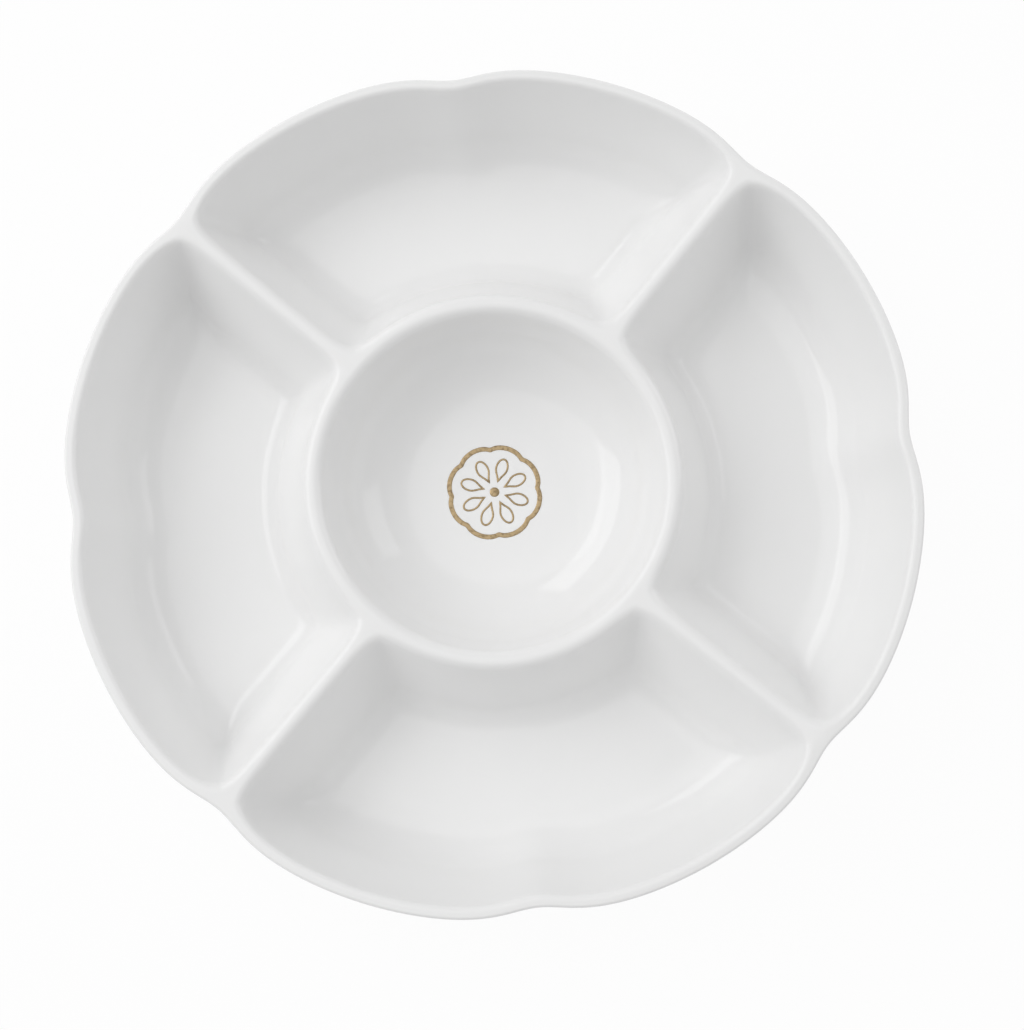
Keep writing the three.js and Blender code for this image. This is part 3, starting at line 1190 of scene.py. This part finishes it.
@dataclass
class Studio:
    """Pale floor, soft lamps and the camera above the dish."""

    frame_width: float = 1024.0
    frame_height: float = 1030.0
    focal_px: float = 1301.0
    distance: float = 420.0 * MM
    tilt: float = 7.9
    roll: float = 5.93
    offset: tuple[float, float] = (-6.1 * MM, 12.8 * MM)
    floor_size: float = 16.0
    floor_white: float = 0.9
    floor_roughness: float = 0.9
    floor_glow: float = 0.94
    sky: float = 0.5
    sensor: float = 36.0
    clip: tuple[float, float] = (0.01, 20.0)
    lamps: tuple[SoftBox, ...] = (
        SoftBox("key", (-1.0, 0.674, 0.892), 1.8, 0.8, 7.3),
        SoftBox("wash", (-0.47, 0.135, 1.418), 1.6, 1.6, 5.5),
        SoftBox("fill", (1.267, 0.461, 0.658), 0.8, 0.8, 2.4),
    )

    def camera(self) -> None:
        """Places the camera nearly straight above the dish, a little towards its front."""
        lens = bpy.data.cameras.new("camera")
        lens.sensor_width = self.sensor
        lens.lens = self.focal_px * self.sensor / max(self.frame_width, self.frame_height)
        lens.clip_start, lens.clip_end = self.clip
        holder = bpy.data.objects.new("camera", lens)
        turn = Matrix.Rotation(math.radians(-self.roll), 3, "Z") @ Matrix.Rotation(math.radians(self.tilt), 3, "X")
        rim = Vector((0.0, 0.0, CAD_BOX[1].z))
        holder.matrix_world = turn.to_4x4()
        holder.location = rim + turn @ Vector((-self.offset[0], -self.offset[1], self.distance))
        bpy.context.scene.collection.objects.link(holder)
        bpy.context.scene.camera = holder

    def floor(self) -> None:
        """Lays a pale floor that is white to the eye and still takes the dish's shadow."""
        half = self.floor_size / 2
        mesh = bpy.data.meshes.new("floor")
        mesh.from_pydata([(-half, -half, 0), (half, -half, 0), (half, half, 0), (-half, half, 0)], [], [(0, 1, 2, 3)])
        floor = bpy.data.objects.new("floor", mesh)
        bpy.context.scene.collection.objects.link(floor)
        paint = Paint("pale_floor")
        paint.coat("Base Color", (self.floor_white, self.floor_white, self.floor_white, 1.0))
        paint.coat("Roughness", self.floor_roughness)
        rays = paint.node("ShaderNodeLightPath").outputs
        kinds = ("Camera", "Glossy", "Transmission")
        camera, glossy, through = (Field(paint, rays[f"Is {kind} Ray"]) for kind in kinds)
        seen = camera.most(glossy).most(through)
        glow = paint.node("ShaderNodeEmission").outputs[0]
        blend = paint.node("ShaderNodeMixShader")
        for socket, value in zip(blend.inputs, (seen * self.floor_glow, paint.shader.outputs[0], glow)):
            paint.feed(socket, value)
        paint.feed(paint.tree.nodes["Material Output"].inputs["Surface"], blend.outputs[0])
        mesh.materials.append(paint.material)

    def light(self) -> None:
        """Sets the sky and hangs the lamps."""
        world = bpy.data.worlds.new("studio")
        world.use_nodes = True
        sky = world.node_tree.nodes["Background"].inputs
        sky["Color"].default_value = (1.0, 1.0, 1.0, 1.0)
        sky["Strength"].default_value = self.sky
        bpy.context.scene.world = world
        for lamp in self.lamps:
            lamp.hang()

    def build(self) -> None:
        """Sets the whole stage."""
        bpy.context.scene.view_settings.view_transform = "Standard"
        self.camera()
        self.floor()
        self.light()


def main() -> None:
    """Builds the studio and each piece of the dish; each piece logs its triangle count."""
    logging.basicConfig(level=logging.INFO, format="%(name)s: %(message)s")
    Studio().build()
    gold = OverglazeGold().material()
    body_nodes = ("tray", "centre_bowl", "divider_back_right", "divider_back_left",
                  "divider_front_left", "divider_front_right")
    PorcelainBody("porcelain_body", Slot.GLAZED, body_nodes).build(Glaze().material())
    FootRing("foot_ring_wiped", Slot.BARE, ("foot_ring",)).build(Biscuit().material())
    GiltBand("gilt_band_line", Slot.GOLD, ("gilt_band",)).build(gold)
    GiltBead("gilt_bead_dot", Slot.GOLD, ("gilt_bead",)).build(gold)
    GiltPetals().build(gold)


if __name__ == "__main__":
    main()
